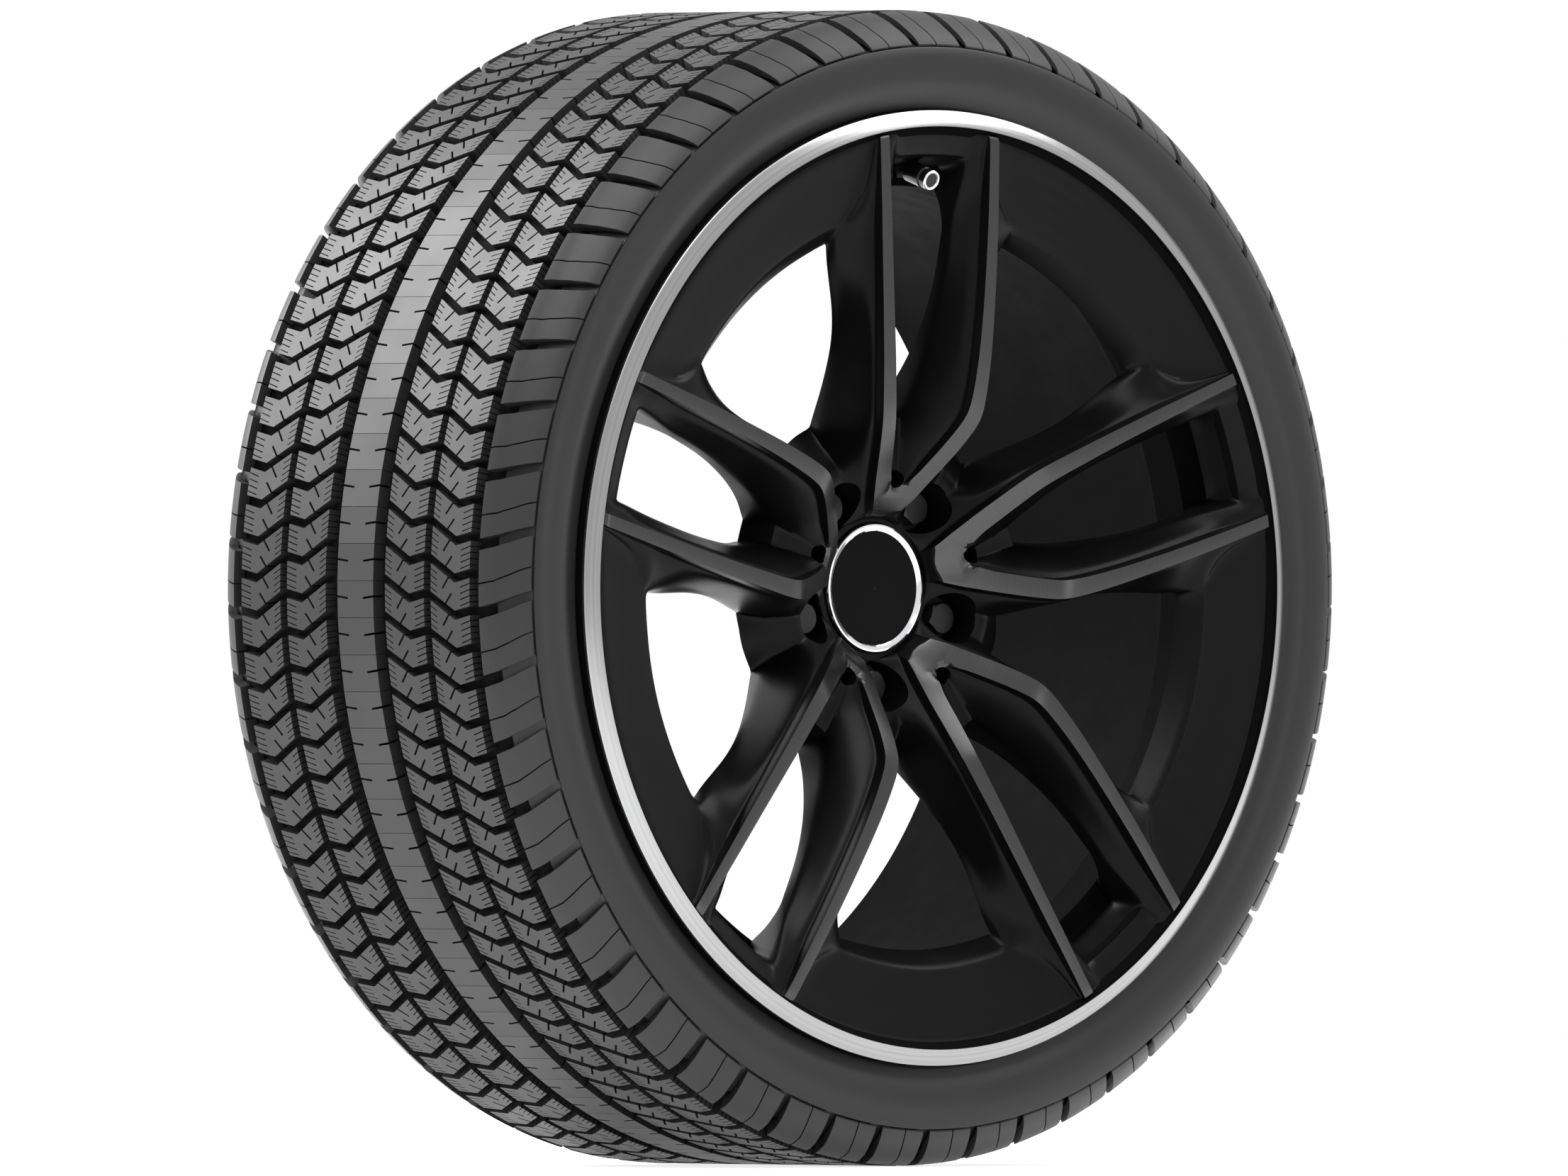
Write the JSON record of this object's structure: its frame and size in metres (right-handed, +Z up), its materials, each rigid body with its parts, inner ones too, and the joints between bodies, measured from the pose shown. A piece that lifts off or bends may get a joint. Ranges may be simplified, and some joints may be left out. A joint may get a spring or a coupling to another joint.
{
  "type": "car wheel with tyre",
  "caption": "Cast alloy car wheel with paired spokes and a turned lip, fitted with a wide winter tyre, bolts, centre cap, valve and pressure sensor.",
  "frame": {"origin": "centre of the hub face, where the centring bore starts", "axes": "-Y points out of the car through the outer face, +Y towards the hub, +Z up along the spoke pair that holds the valve"},
  "size_m": [0.6574, 0.2622, 0.6574],
  "materials": {
    "gloss_black": "gloss black lacquer, with the spoke tops and the lip turned bright",
    "tread_rubber": "matt black rubber",
    "cap_black": "gloss",
    "bright_chrome": "polished",
    "spring_steel": "plain",
    "bolt_chrome": "satin",
    "dark_chrome": "dark",
    "seal_rubber": "matt",
    "valve_aluminium": "turned",
    "core_brass": "turned",
    "pin_steel": "plain",
    "sensor_plastic": "matt"
  },
  "bodies": {
    "wheel": {"wheel_casting": "gloss_black", "tyre": "tread_rubber", "cap_body": "cap_black", "cap_ring": "bright_chrome", "cap_spring": "spring_steel", "bolt_1": "bolt_chrome", "bolt_2": "bolt_chrome", "bolt_3": "bolt_chrome", "bolt_4": "bolt_chrome", "bolt_5": "bolt_chrome", "valve_stem": "valve_aluminium", "valve_core": "core_brass", "valve_nut": "dark_chrome", "valve_washer": "spring_steel", "valve_grommet": "seal_rubber", "pressure_sensor": "sensor_plastic", "sensor_screw": "spring_steel"},
    "valve_cap_carrier": {"valve_cap_seal": "seal_rubber"},
    "valve_cap": {"valve_cap": "dark_chrome"},
    "valve_pin": {"valve_pin": "pin_steel"}
  },
  "joints": [
    {"name": "valve_cap_travel", "type": "slide", "parent": "wheel", "child": "valve_cap_carrier", "axis": [0, -0.9511, -0.309], "range_m": [0, 0.01588]},
    {"name": "valve_cap_turn", "type": "hinge", "parent": "valve_cap_carrier", "child": "valve_cap", "pos_m": [0, -0.0845, 0.2315], "axis": [0, 0.9511, 0.309], "range_deg": [-7200, 0]},
    {"name": "valve_pin_press", "type": "slide", "parent": "wheel", "child": "valve_pin", "axis": [0, 0.9511, 0.309], "range_m": [0, 0.0012], "stiffness_N_per_m": 2000, "springref_m": -0.0008}
  ],
  "couplings": [
    {"joint": "valve_cap_turn", "follows": "valve_cap_travel", "rad_per_m": -7915.8}
  ]
}
